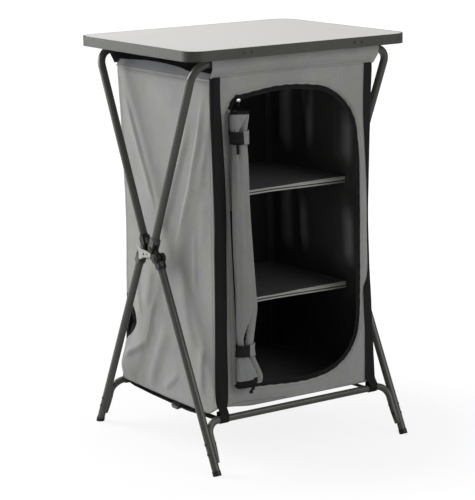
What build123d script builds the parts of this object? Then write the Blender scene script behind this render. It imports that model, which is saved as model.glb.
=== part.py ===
from build123d import *
from math import atan2, cos, degrees, hypot, pi, sin
import os

os.makedirs("parts", exist_ok=True)

# Folding camping kitchen cupboard: a cloth cabinet hung between two tube frames that
# cross at a hub on each side, under a table top that clips on the top rails.
# Origin on the floor at the centre, X to the right seen from the front, Y to the rear.

# Table top
top_height = 1000.0
top_width = 623.0
top_depth = 531.0
top_thickness = 24.0
top_corner = 42.0
band_wall = 2.4
band_lip = 4.0
lip_thickness = 0.8

# Frame tubes
tube = 19.0
tube_wall = 1.2
crossbar = 17.0
leg_x = 277.0
foot_y = 281.0
rail_y = 222.5
rail_z = 964.5
rail_bend = 40.0
crossbar_z = 116.0
crossbar_bend = 32.0
crossbar_run = 100.0
crossbar_taper = 45.0
crossbar_tip = 1.5
foot_height = 12.0
foot_wall = 0.8

# Hub pivots, as distance from the middle and height
lower_pin = (39.0, 484.0)
upper_pin = (16.0, 505.0)
pin_radius = 3.0
pin_clearance = 0.05
plate_thickness = 8.0
lobe_radius = 8.0
socket_outer = 10.6
socket_flat = 8.5
socket_half = 10.5
slot_depth = 22.0
collar_end = 30.0
knob_radius = 12.0
knob_half = 13.5

# Cloth cabinet
cloth = 1.5
panel_bottom = 133.0
panel_top = 931.0
hem_low = 936.0
hem_high = 952.0
levels = [
    (panel_bottom, 233.5, 219.5),
    (330.0, 228.0, 214.5),
    (530.0, 225.0, 211.5),
    (750.0, 226.0, 214.5),
    (hem_high, 229.0, 222.0),
]
shelf_depth_front = -120.0
shelf_upper_z = 638.0
shelf_lower_z = 369.0
shelf_thickness = 11.0
floor_thickness = 4.0

# Door opening, with its large corners on the right
door_left = -187.0
door_right = 190.0
door_top = 892.0
door_bottom = 170.0
door_corner = 122.0
door_small_corner = 22.0
zip_tape = 10.0
strap_lean = 20.0
gap = 0.3

middle_depth = levels[2][2]


def box(low, high):
    size = [b - a for a, b in zip(low, high)]
    centre = [(a + b) / 2 for a, b in zip(low, high)]
    return Pos(*centre) * Box(*size)


def rod(start, end, radius):
    start = Vector(*start)
    end = Vector(*end)
    axis = end - start
    plane = Plane(origin=start, z_dir=axis)
    return plane.location * Cylinder(radius, axis.length, align=(Align.CENTER, Align.CENTER, Align.MIN))


def mirror_x(shape):
    return mirror(shape, about=Plane.YZ)


def mirror_y(shape):
    return mirror(shape, about=Plane.XZ)


def save(name, shape):
    solids = shape.solids() if hasattr(shape, "solids") else [shape]
    shape = solids[0] if len(solids) == 1 else Compound(children=list(solids))
    shape.label = name
    export_step(shape, f"parts/{name}.step")


def leg_plane(side, pin, end):
    """Plane of one half frame: X across, Y from the hub pin along the legs."""
    along = Vector(0, side * (end[0] - pin[0]), end[1] - pin[1]).normalized()
    normal = Vector(1, 0, 0).cross(along)
    return Plane(origin=(0, side * pin[0], pin[1]), x_dir=(1, 0, 0), z_dir=normal)


def pipe(points, radii, diameter):
    """Hollow bent tube along a path in the plane of a half frame."""
    path = FilletPolyline(*points, radius=radii) if radii else Polyline(*points)
    start = Plane(origin=path @ 0, z_dir=path % 0)
    ring = Circle(diameter / 2) - Circle(diameter / 2 - tube_wall)
    return sweep(start * ring, path=path)


def straight_tube(x, low, high):
    outer = rod((x, low, 0), (x, high, 0), tube / 2)
    bore = rod((x, low - 1, 0), (x, high + 1, 0), tube / 2 - tube_wall)
    return outer - bore


def socket(x, knob):
    """Moulded end of a leg: a collar on the tube and a fork on the hub pin."""
    half = knob_half if knob else socket_half
    body = rod((x, 20, 0), (x, collar_end, 0), socket_outer)
    body += box((x - socket_half, 0, -socket_flat), (x + socket_half, 26, socket_flat))
    radius = knob_radius if knob else socket_flat
    body += rod((x - half, 0, 0), (x + half, 0, 0), radius)
    slot_half = plate_thickness / 2 + 0.2
    body -= box((x - slot_half, -knob_radius - 1, -knob_radius - 1), (x + slot_half, slot_depth, knob_radius + 1))
    body -= rod((x - half - 1, 0, 0), (x + half + 1, 0, 0), pin_radius + pin_clearance)
    body -= rod((x, tube_start, 0), (x, collar_end + 1, 0), tube / 2)
    return body


upper_length = hypot(rail_y - upper_pin[0], rail_z - upper_pin[1])
lower_length = hypot(foot_y - lower_pin[0], lower_pin[1])
lower_cos = lower_pin[1] / lower_length
crossbar_along = (lower_pin[1] - crossbar_z) / lower_cos
crossbar_y = lower_pin[0] + (foot_y - lower_pin[0]) * crossbar_along / lower_length
run_x = leg_x - 10.0
tube_start = 24.0


def upper_frame(side, name):
    plane = leg_plane(side, upper_pin, (rail_y, rail_z))
    place = plane.location
    split = upper_length - rail_bend - 20
    rail_points = [
        (-leg_x, split),
        (-leg_x, upper_length),
        (leg_x, upper_length),
        (leg_x, split),
    ]
    save(f"{name}_rail", place * pipe(rail_points, rail_bend, tube))
    for word, x in (("left", -leg_x), ("right", leg_x)):
        save(f"{name}_leg_{word}", place * straight_tube(x, tube_start, split))
        save(f"{name}_socket_{word}", place * socket(x, False))


def lower_frame(side, name, knob):
    plane = leg_plane(side, lower_pin, (foot_y, 0))
    place = plane.location
    end = crossbar_along + crossbar_run
    taper = crossbar_along + crossbar_taper
    bar_side = run_x - crossbar / 2
    bar_points = [
        (-run_x, end),
        (-run_x, crossbar_along),
        (run_x, crossbar_along),
        (run_x, end),
    ]
    bar = pipe(bar_points, crossbar_bend, crossbar)
    rivet_spots = [crossbar_along + 52, crossbar_along + 76]
    rivets = []
    floor_cut = box((-400, -400, -100), (400, 400, 0))
    for word, x in (("left", -leg_x), ("right", leg_x)):
        sign = 1 if x > 0 else -1
        leg = straight_tube(x, tube_start, lower_length - 5)
        leg_side = leg_x - tube / 2
        filling = rod((sign * run_x, taper - 2, 0), (sign * run_x, end, 0), crossbar / 2 - 0.6)
        fall = (leg_side - crossbar_tip - bar_side) / (end - taper)
        slope = Polyline(
            (sign * (bar_side - 10 * fall), taper - 10),
            (sign * (leg_side - crossbar_tip), end),
            (sign * (leg_side - crossbar_tip), end + 5),
            (sign * (bar_side - 10), end + 5),
            (sign * (bar_side - 10), taper - 10),
            close=True,
        )
        bar += filling
        bar -= extrude(make_face(slope.edges()), amount=20, both=True)
        bar -= rod((x, tube_start, 0), (x, lower_length, 0), tube / 2 + 0.1)
        for spot in rivet_spots:
            face = bar_side + fall * (spot - taper)
            inner = sign * (face - 0.5)
            outer = sign * (leg_x + tube / 2 + 0.1)
            shank = rod((inner, spot, 0), (outer, spot, 0), 2.4)
            leg -= shank
            bar -= shank
            heads = [
                rod((sign * (face - 0.1), spot + 0.1 * fall, 0), (sign * (face - 1.1), spot + 1.1 * fall, 0), 3.6),
                rod((outer, spot, 0), (outer + sign * 0.9, spot, 0), 3.6),
            ]
            rivets.append(place * (shank + heads[0] + heads[1]))
        cap = rod((x, lower_length - foot_height, 0), (x, lower_length + 0.5, 0), tube / 2 + foot_wall)
        cap -= rod((x, lower_length - foot_height - 1, 0), (x, lower_length - 5, 0), tube / 2)
        save(f"{name}_leg_{word}", place * leg)
        save(f"{name}_foot_{word}", place * cap - floor_cut)
        save(f"{name}_socket_{word}", place * socket(x, knob))
    save(f"{name}_crossbar", place * bar)
    save(f"{name}_rivets", Compound(children=rivets))


def disc(y, z, radius, low, high):
    return rod((low, y, z), (high, y, z), radius)


def hub():
    """Left hub: a core plate with four pivots, and an arched cover between two stepped cheeks."""
    pins = [
        (-lower_pin[0], lower_pin[1]),
        (-upper_pin[0], upper_pin[1]),
        (upper_pin[0], upper_pin[1]),
        (lower_pin[0], lower_pin[1]),
    ]
    half = plate_thickness / 2
    outline = make_hull([Pos(y, z) * Circle(lobe_radius).edge() for y, z in pins])
    side_plane = Plane(origin=(0, 0, 0), x_dir=(0, 1, 0), z_dir=(1, 0, 0))
    plate = extrude(side_plane * outline, amount=half, both=True)
    arch = Polyline((-16, 478), (-16, 488), (-12, 493.5), (18, 493.5), (26, 488), (26, 474))
    under = ThreePointArc((26, 474), (6, 481), (-16, 478))
    arch_face = make_face(arch.edges() + under.edges())
    cover = extrude(side_plane * arch_face, amount=10.8, both=True)
    core = plate - extrude(side_plane * offset(arch_face, 0.1), amount=20.0, both=True)
    corners = [
        (42, 506),
        (29, 505),
        (22, 499),
        (-9, 497),
        (-23, 493),
        (-23, 487),
        (-9, 482),
        (17, 479),
        (25, 473),
        (33, 473),
        (33, 490),
    ]
    cheek_face = make_face(FilletPolyline(*corners, radius=1.8, close=True).edges())
    cheek = extrude(side_plane * cheek_face, amount=2.8)
    cover += Pos(10.7, 0, 0) * cheek
    cover += Pos(-13.5, 0, 0) * cheek
    cover -= disc(10, 488, 3.4, -14, 14)
    cover -= disc(-7, 489.5, 2.4, -14, 14)
    for y, z in pins:
        pin = disc(y, z, pin_radius, -20, 20)
        core -= pin
        cover -= pin
    return Pos(-leg_x, 0, 0) * core, Pos(-leg_x, 0, 0) * cover


def hub_rivets():
    """Headed pins of the left hub; the pin halves follow the width of each joint."""
    spots = [
        (-lower_pin[0], lower_pin[1], knob_half),
        (-upper_pin[0], upper_pin[1], socket_half),
        (upper_pin[0], upper_pin[1], socket_half),
        (lower_pin[0], lower_pin[1], socket_half),
    ]
    rivets = []
    for y, z, half in spots:
        reach = half + 0.1
        pin = disc(y, z, pin_radius, -reach - 0.2, reach + 0.2)
        pin += disc(y, z, 5.5, reach, reach + 2)
        pin += disc(y, z, 5.5, -reach - 2, -reach)
        rivets.append(Pos(-leg_x, 0, 0) * pin)
    return rivets


def table_top():
    low = top_height - top_thickness
    outer = RectangleRounded(top_width, top_depth, top_corner)
    inner = RectangleRounded(top_width - 2 * band_wall, top_depth - 2 * band_wall, top_corner - band_wall)
    lip = RectangleRounded(top_width - 2 * band_lip, top_depth - 2 * band_lip, top_corner - band_lip)
    band = Pos(0, 0, low) * extrude(outer - inner, amount=top_thickness)
    band += Pos(0, 0, top_height - lip_thickness) * extrude(outer - lip, amount=lip_thickness)
    board_low = low + 1.5
    board = Pos(0, 0, board_low) * extrude(inner, amount=top_height - lip_thickness - board_low)
    board += Pos(0, 0, top_height - lip_thickness) * extrude(lip, amount=lip_thickness)

    # Each clip hangs on a tab behind the edge band and hooks a rail from the outside.
    tab_y = top_depth / 2 - band_wall
    strap_z = board_low - 0.2
    saddle = 9.8
    plate = 1.8
    side_plane = Plane(origin=(0, 0, 0), x_dir=(0, 1, 0), z_dir=(1, 0, 0))
    ring = Pos(-rail_y, rail_z) * (Circle(saddle + plate) - Circle(saddle))
    keep = make_face(Polyline(
        (-rail_y - 20, rail_z),
        (-rail_y, rail_z),
        (-rail_y + 20, rail_z + 20),
        (-rail_y, rail_z + 30),
        (-rail_y - 20, rail_z + 20),
        (-rail_y - 20, rail_z),
    ))
    hook = ring & keep
    hook += Pos(-rail_y - saddle - plate / 2, rail_z - 3) * Rectangle(plate, 6.2)
    strap = Pos((-tab_y - rail_y) / 2, strap_z - plate / 2) * Rectangle(tab_y - rail_y, plate)
    tab = Pos(-tab_y + plate / 2 + 0.1, strap_z - plate + 10) * Rectangle(plate, 20)
    profile = hook + strap + tab
    clip = extrude(side_plane * profile, amount=15, both=True)
    pocket = box((-16, -tab_y - 1, board_low - 1), (16, -tab_y + 4.2, board_low + 20))
    clip_x = 157.0
    rivet_z = 988.5
    rivets = []
    words = (("left", -clip_x), ("right", clip_x))
    for word, x in words:
        front_clip = Pos(x, 0, 0) * clip
        front_pocket = Pos(x, 0, 0) * pocket
        board -= front_pocket
        board -= mirror_y(front_pocket)
        for offset in (-10, 10):
            shank = rod((x + offset, -top_depth / 2 - 0.05, rivet_z), (x + offset, -tab_y + 2.4, rivet_z), 2.0)
            front_clip -= shank
            band -= shank
            band -= mirror_y(shank)
            head_y = -top_depth / 2
            rivet = shank + rod((x + offset, head_y, rivet_z), (x + offset, head_y - 0.9, rivet_z), 3.6)
            rivets.append(rivet)
            rivets.append(mirror_y(rivet))
        save(f"clip_front_{word}", front_clip)
        save(f"clip_rear_{word}", mirror_y(front_clip))
    save("tabletop_edge_band", band)
    save("tabletop_board", board)
    save("clip_rivets", Compound(children=rivets))


def cabinet_walls():
    """Front and back cloth, drawn in at the waist between the rails and the crossbars."""
    def body(inset):
        sections = [Pos(0, 0, z) * Rectangle(2 * (x - inset), 2 * (y - inset)) for z, x, y in levels]
        return loft(Sketch() + sections)
    shell = body(0) - body(cloth)
    reach = 400.0
    wedge = make_face(Polyline((0, 0), (-reach, -reach * 0.945), (reach, -reach * 0.945), (0, 0)))
    front = shell & extrude(wedge, amount=1000)
    front -= box((-300, -300, panel_top), (300, 300, 1000))
    return front


def opening(inset):
    """Outline of the door opening in the front, looking along Y."""
    left = door_left + inset
    right = door_right - inset
    top = door_top - inset
    bottom = door_bottom + inset
    big = door_corner - inset
    small = max(door_small_corner - inset, 4)
    corners = [(left, top), (right, top), (right, bottom), (left, bottom)]
    path = FilletPolyline(*corners, radius=[small, big, big, small], close=True)
    face = make_face(path.edges())
    front_plane = Plane(origin=(0, 0, 0), x_dir=(1, 0, 0), z_dir=(0, -1, 0))
    return extrude(front_plane * face, amount=300)


def panel_face(z):
    """Distance of the front cloth from the middle at a height."""
    for (low, _, near), (high, _, far) in zip(levels, levels[1:]):
        if low <= z <= high:
            return near + (far - near) * (z - low) / (high - low)
    return levels[-1][2]


def side_panel():
    """Left side cloth with shallow folds that fan out from the hub."""
    folds = [-0.86, -0.52, -0.28, 0.05, 0.34, 0.62, 0.88]
    sections = []
    for z, x, y in levels:
        spread = min(abs(z - lower_pin[1]) / 330.0, 1.0)
        depth = 1.2 + 2.4 * spread
        knots = [-1.0]
        for fold in folds:
            knots.append(fold * (0.72 + 0.28 * spread))
        knots.append(1.0)
        reach = y - 2 * cloth - 4.5
        points = [(-x - (depth if i % 2 else 0), reach * k) for i, k in enumerate(knots)]
        outer = []
        inner = []
        for i, (a, b) in enumerate(zip(points, points[1:])):
            bow = 1.2 if i % 2 else -0.8
            middle = ((a[0] + b[0]) / 2 - bow, (a[1] + b[1]) / 2)
            outer.append(ThreePointArc(a, middle, b))
            shift = [(p[0] + cloth, p[1]) for p in (a, middle, b)]
            inner.append(ThreePointArc(*shift))
        first = points[0]
        last = points[-1]
        ends = [
            Line(first, (first[0] + cloth, first[1])),
            Line(last, (last[0] + cloth, last[1])),
        ]
        edges = [e for curve in outer + inner + ends for e in curve.edges()]
        sections.append(Pos(0, 0, z) * make_face(edges))
    panel = loft(Sketch() + sections)
    half = levels[-1][2] + 5
    side_plane = Plane(origin=(-260, 0, 0), x_dir=(0, 1, 0), z_dir=(1, 0, 0))
    hem = ThreePointArc((-half, hem_high), (0, hem_low), (half, hem_high))
    lid = Polyline((half, hem_high), (half, 1000), (-half, 1000), (-half, hem_high))
    return panel - extrude(side_plane * make_face(hem.edges() + lid.edges()), amount=80)


def skirt():
    """Cloth band in front of the top rail, wider and further out at its top."""
    # height, distance from the middle, half width
    rows = [
        (panel_top + 0.3, panel_face(panel_top) + 0.2, 234.0),
        (955.0, 236.4, 237.0),
        (top_height - top_thickness - 1.2, 238.5, 238.5),
    ]
    sections = [Pos(0, -y, z) * Rectangle(2 * x, cloth) for z, y, x in rows]
    return loft(Sketch() + sections, ruled=True)


def corner_strap():
    """Webbing on the front left corner, looped round the front crossbar."""
    loop = crossbar / 2 + gap + cloth / 2
    near = [(-panel_face(z) - gap - cloth / 2 - 0.5, z) for z in (panel_top - 1, 740, 530, 330)]
    drop = Polyline(*near, (-crossbar_y - loop, crossbar_z + 22), (-crossbar_y - loop, crossbar_z))
    turn = ThreePointArc(
        (-crossbar_y - loop, crossbar_z),
        (-crossbar_y, crossbar_z - loop),
        (-crossbar_y + loop, crossbar_z),
    )
    rise = Line((-crossbar_y + loop, crossbar_z), (-crossbar_y + loop, panel_bottom - 2))
    edges = drop.edges() + turn.edges() + rise.edges()
    side_plane = Plane(origin=(0, 0, 0), x_dir=(0, 1, 0), z_dir=(1, 0, 0))
    strap = extrude(side_plane * trace(edges, line_width=cloth), amount=25.0)
    return Pos(-229.0, 0, 0) * strap


def leaned(shape):
    """Turns a piece about the side strap's middle line, so that its outer edge hangs lower."""
    middle_line = Axis((-221, 0, 109), (0, 1, 0))
    return shape.rotate(middle_line, -strap_lean)


def side_strap():
    """Webbing that ties the front and rear crossbars, hanging a little at the middle."""
    end = crossbar_y - crossbar / 2 - 2.6
    curve = ThreePointArc((-end, crossbar_z - 1), (0, 106), (end, crossbar_z - 1))
    side_plane = Plane(origin=(-231, 0, 0), x_dir=(0, 1, 0), z_dir=(1, 0, 0))
    return leaned(extrude(side_plane * trace(curve.edges(), line_width=cloth), amount=20))


def buckle():
    """Ladder buckle on the side strap: a frame with two windows round the webbing."""
    body = box((-238, -38, 102.5), (-204, -10, 110.5))
    body = fillet(body.edges().filter_by(Axis.Z), 3)
    for low, high in ((-35, -27), (-21, -13)):
        body -= box((-233, low, 100), (-209, high, 113))
    return leaned(body - box((-231.6, -40, 105.1), (-210.4, -8, 107.9)))


def door_roll():
    """Rolled door tied at two heights, pinched at the ties and flared at its foot."""
    # height, middle, half width, half depth
    rings = [
        (176, -151, 29, 11),
        (198, -146, 35, 15),
        (232, -151, 28, 15),
        (264, -158.5, 19, 14),
        (290, -160.5, 19, 14),
        (330, -155, 26, 17),
        (400, -151, 31, 19),
        (520, -155, 28, 19),
        (640, -162, 28, 19),
        (730, -167, 29, 19),
        (774, -164, 21, 15),
        (799, -162, 21, 15),
        (826, -158, 25, 17),
        (852, -151, 21, 13),
    ]
    sections = []
    for z, x, wide, deep in rings:
        y = -panel_face(z) - deep - 4.0
        corners = [(x - wide, y), (x, y - deep), (x + wide, y), (x, y + deep)]
        bulge = 0.74
        edges = []
        for a, b in zip(corners, corners[1:] + corners[:1]):
            middle = (
                x + (a[0] + b[0] - 2 * x) * bulge,
                y + (a[1] + b[1] - 2 * y) * bulge,
            )
            edges += ThreePointArc(a, middle, b).edges()
        sections.append(Pos(0, 0, z) * make_face(edges))
    return loft(Sketch() + sections)


def door_tie(z, x, wide, deep, height):
    """Webbing tie round the rolled door."""
    y = -panel_face(z) - deep - 4.0
    outer = Pos(x, y, z) * extrude(Ellipse(wide + 4.0, deep + 3.8), amount=height / 2, both=True)
    inner = Pos(x, y, z) * extrude(Ellipse(wide + 2.6, deep + 2.4), amount=height, both=True)
    return outer - inner


def zip_slider():
    """Slider on the inner edge of the tape, with its pull hanging in front."""
    z = door_top - zip_tape
    face = panel_face(z)
    body = box((-167, -face - 3.2, z - 6), (-153, -face + cloth + 1.7, z + 5))
    body = fillet(body.edges().filter_by(Axis.Y), 3)
    body -= box((-170, -face - 1.2, z - 1.5), (-150, -face + cloth + 0.6, z + 6))
    pull = box((-163, -face - 5.2, z - 21), (-157, -face - 3.1, z + 2))
    pull = fillet(pull.edges().filter_by(Axis.Y), 2)
    return body + pull


table_top()

upper_frame(-1, "front_upper")
upper_frame(1, "rear_upper")
lower_frame(-1, "front_lower", True)
lower_frame(1, "rear_lower", False)

left_core, left_cover = hub()
left_rivets = hub_rivets()
save("hub_core_left", left_core)
save("hub_core_right", mirror_x(left_core))
save("hub_cover_left", left_cover)
save("hub_cover_right", mirror_x(left_cover))
save("hub_rivets", Compound(children=left_rivets + [mirror_x(r) for r in left_rivets]))

wall = cabinet_walls()
edge = opening(0)
front = wall - edge
tape = (wall & edge) - opening(zip_tape)
tape -= box((door_left - 5, -300, 0), (-172, 0, 1000))
save("front_panel", front)
save("door_zip_tape", tape)
save("back_panel", mirror_y(wall))

left_side = side_panel()
save("side_panel_left", left_side)
save("side_panel_right", mirror_x(left_side))

floor = box((-230, -216, panel_bottom + 0.5), (230, 216, panel_bottom + 0.5 + floor_thickness))
save("cabinet_floor", floor)
for name, z in (("shelf_upper", shelf_upper_z), ("shelf_lower", shelf_lower_z)):
    inner = min(panel_face(z), middle_depth) - cloth - gap
    save(name, box((-222.5, shelf_depth_front, z - shelf_thickness), (222.5, inner - 1, z)))

front_skirt = skirt()
save("front_skirt", front_skirt)
save("rear_skirt", mirror_y(front_skirt))

strap = corner_strap()
save("corner_strap_front_left", strap)
save("corner_strap_front_right", mirror_x(strap))
save("corner_strap_rear_left", mirror_y(strap))
save("corner_strap_rear_right", mirror_x(mirror_y(strap)))

lower_strap = side_strap()
left_buckle = buckle()
save("side_strap_left", lower_strap)
save("side_strap_right", mirror_x(lower_strap))
save("buckle_left", left_buckle)
save("buckle_right", mirror_x(left_buckle))

save("door_roll", door_roll())
save("door_tie_top", door_tie(786.5, -163, 21, 15, 16))
save("door_tie_bottom", door_tie(277, -159.5, 19.5, 14, 15))
save("zip_slider", zip_slider())
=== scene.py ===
"""Looks of the folding camping kitchen cupboard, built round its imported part, in metres."""

from math import cos, exp, hypot, pi, radians, sin, tau

import bpy
from mathutils import Matrix, Vector, noise


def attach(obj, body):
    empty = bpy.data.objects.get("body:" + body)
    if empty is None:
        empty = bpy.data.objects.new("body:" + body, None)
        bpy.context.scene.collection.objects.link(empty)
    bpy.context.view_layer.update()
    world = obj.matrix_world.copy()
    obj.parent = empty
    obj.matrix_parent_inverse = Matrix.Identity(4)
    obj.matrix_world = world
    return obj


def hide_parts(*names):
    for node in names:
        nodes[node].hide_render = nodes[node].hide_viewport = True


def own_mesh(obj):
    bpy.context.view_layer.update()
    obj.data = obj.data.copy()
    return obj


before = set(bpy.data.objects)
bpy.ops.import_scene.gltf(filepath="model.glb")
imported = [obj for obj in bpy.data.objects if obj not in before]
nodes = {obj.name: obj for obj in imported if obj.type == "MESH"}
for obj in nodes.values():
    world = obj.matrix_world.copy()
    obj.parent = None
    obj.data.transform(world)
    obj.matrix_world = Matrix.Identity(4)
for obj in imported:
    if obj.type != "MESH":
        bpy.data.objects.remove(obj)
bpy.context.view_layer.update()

# The cloth's shape: height, half width, distance of the front and back from the middle
walls = [
    (0.133, 0.2335, 0.2195),
    (0.330, 0.2280, 0.2145),
    (0.530, 0.2250, 0.2115),
    (0.750, 0.2260, 0.2145),
    (0.952, 0.2290, 0.2220),
]
wall_bottom = 0.133
panel_top = 0.931
cloth_thickness = 0.0010
floor_thickness = 0.0030
tape_thickness = 0.0007
webbing_thickness = 0.0014

# Door opening in the front cloth, anticlockwise: across and height
door_corners = [
    (-0.187, 0.216),
    (-0.184, 0.192),
    (-0.165, 0.182),
    (-0.111, 0.178),
    (-0.047, 0.1725),
    (0.000, 0.1695),
    (0.040, 0.170),
    (0.078, 0.175),
    (0.115, 0.187),
    (0.146, 0.207),
    (0.169, 0.234),
    (0.182, 0.262),
    (0.189, 0.292),
    (0.193, 0.350),
    (0.1965, 0.510),
    (0.195, 0.690),
    (0.191, 0.737),
    (0.182, 0.790),
    (0.165, 0.826),
    (0.135, 0.857),
    (0.105, 0.877),
    (0.076, 0.888),
    (0.017, 0.896),
    (-0.040, 0.898),
    (-0.096, 0.893),
    (-0.152, 0.885),
    (-0.174, 0.877),
    (-0.184, 0.861),
    (-0.187, 0.830),
    (-0.187, 0.520),
]
door_points = 220

# Frame tubes that the straps go round
crossbar_y = 0.2229
crossbar_z = 0.116
crossbar_radius = 0.0085

# Stitching
stitch_length = 0.0032
stitch_pitch = 0.0048
stitch_radius = 0.00035

# Coil of the zip
coil_pitch = 0.0016
coil_radius = 0.00042
# Points of one turn of the coil: along the zip, towards the opening, and out of the cloth
coil_bend = [(0.0, -0.0012, 0.0004), (0.0002, 0.0004, 0.0001), (0.0004, 0.0016, 0.0004)]


# Reading smooth curves
def along(keys, at):
    """Smooth curve through rows of (position, value, ...), read at one position."""
    at = min(max(at, keys[0][0]), keys[-1][0])
    i = max(k for k in range(len(keys) - 1) if keys[k][0] <= at)
    a, b = keys[i], keys[i + 1]
    before = keys[i - 1] if i else a
    after = keys[i + 2] if i + 2 < len(keys) else b
    span = b[0] - a[0]
    t = (at - a[0]) / span
    read = []
    for k in range(1, len(a)):
        leave = (b[k] - before[k]) / (b[0] - before[0]) * span
        arrive = (after[k] - a[k]) / (after[0] - a[0]) * span
        read.append(hermite(t, a[k], b[k], leave, arrive))
    return read if len(read) > 1 else read[0]


def hermite(t, start, end, leave, arrive):
    """Smooth value between start and end, which leaves and arrives with these slopes."""
    bend = (2 * t**3 - 3 * t**2 + 1) * start + (3 * t**2 - 2 * t**3) * end
    return bend + (t**3 - 2 * t**2 + t) * leave + (t**3 - t**2) * arrive


def spread(low, high, count):
    """Evenly spaced values from low to high, both included."""
    return [low + (high - low) * i / (count - 1) for i in range(count)]


def run_lengths(points):
    """Length along a line up to each of its points."""
    runs = [0.0]
    for a, b in zip(points, points[1:]):
        runs.append(runs[-1] + (b - a).length)
    return runs


def ease(low, high, at):
    """0 below low, 1 above high, smooth in between."""
    t = min(max((at - low) / (high - low), 0.0), 1.0)
    return t * t * (3 - 2 * t)


def bump(at, middle, width):
    """1 at the middle, falling smoothly to 0 beyond the width on both sides."""
    return exp(-(((at - middle) / width) ** 2))


def within_half_turn(angle):
    """Angle brought between minus and plus half a turn."""
    return (angle + pi) % tau - pi


def wobble(a, b, scale, seed=0.0):
    """Smooth uneven value from -1 to 1 over a surface."""
    return noise.noise(Vector((a / scale, b / scale, seed)))


def folded(a, b, folds):
    """Height of a cloth's folds at a point.

    A fold has its width on the side of its crest where b is higher, its width on the other side, its height
    and the points of its crest. It fades out at both ends.
    """
    a += 0.004 * wobble(a, b, 0.09, 3.1)
    b += 0.004 * wobble(a, b, 0.09, 7.7)
    height = 0.0
    for behind, ahead, lift, *crest in folds:
        whole = sum(hypot(p[0] - q[0], p[1] - q[1]) for p, q in zip(crest, crest[1:]))
        nearest, passed = (whole + 1.0, 0.0, 0.0), 0.0
        for (a0, b0), (a1, b1) in zip(crest, crest[1:]):
            run_a, run_b = a1 - a0, b1 - b0
            long = hypot(run_a, run_b)
            t = min(max(((a - a0) * run_a + (b - b0) * run_b) / long**2, 0.0), 1.0)
            off_a, off_b = a - a0 - t * run_a, b - b0 - t * run_b
            share = (passed + t * long) / whole
            nearest = min(nearest, (hypot(off_a, off_b), run_a * off_b - run_b * off_a, share))
            passed += long
        off, side, share = nearest
        width = behind if side > 0 else ahead
        height += lift * ease(0.0, 0.25, share) * (1 - ease(0.75, 1.0, share)) * exp(-((off / width) ** 2))
    return height


# Materials
def linear(hex_colour):
    """Linear colour of an sRGB hex colour."""
    parts = [int(hex_colour[i : i + 2], 16) / 255 for i in (1, 3, 5)]
    return [x / 12.92 if x <= 0.04045 else ((x + 0.055) / 1.055) ** 2.4 for x in parts] + [1.0]


def add(tree, kind, inputs=(), out=0, **settings):
    """One output of a new shader node; its inputs are values or sockets, by name or in their order."""
    made = tree.nodes.new("ShaderNode" + kind)
    for name, value in settings.items():
        setattr(made, name, value)
    for name, value in inputs.items() if isinstance(inputs, dict) else enumerate(inputs):
        if isinstance(value, bpy.types.NodeSocket):
            tree.links.new(value, made.inputs[name])
        else:
            made.inputs[name].default_value = value
    return made.outputs[out]


def material(name, build, **surface):
    """A material whose build function gives its colour, bump height, bump depth in metres and roughness."""
    made = bpy.data.materials.new(name)
    made.use_nodes = True
    tree = made.node_tree
    shader = tree.nodes["Principled BSDF"]
    colour, height, depth, roughness = build(tree)
    relief = add(tree, "Bump", {"Height": height, "Distance": depth, "Strength": 1.0})
    for socket, value in (("Base Color", colour), ("Roughness", roughness), ("Normal", relief)):
        tree.links.new(value, shader.inputs[socket])
    for socket, value in surface.items():
        shader.inputs[socket.replace("_", " ")].default_value = value
    return made


# A mix of two colours has its factor at input 0, the colours at 6 and 7, and the mixed one at output 2
colours = {"data_type": "RGBA", "out": 2}
yarn = 0.00055


def ridges(pitch):
    """Scale of a wave texture whose ridges lie a pitch apart."""
    return tau / (20 * pitch)


def plain_weave(tree, uv):
    """Height of a plain weave: warp and weft go over and under each other, one yarn apart."""
    warp = add(tree, "TexWave", {"Vector": uv, "Scale": ridges(yarn)}, "Fac", bands_direction="X")
    weft = add(tree, "TexWave", {"Vector": uv, "Scale": ridges(yarn)}, "Fac", bands_direction="Y")
    over = add(tree, "TexChecker", {"Vector": uv, "Scale": 1 / yarn}, "Fac")
    return add(tree, "Mix", {0: over, 2: warp, 3: weft}, data_type="FLOAT")


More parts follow.
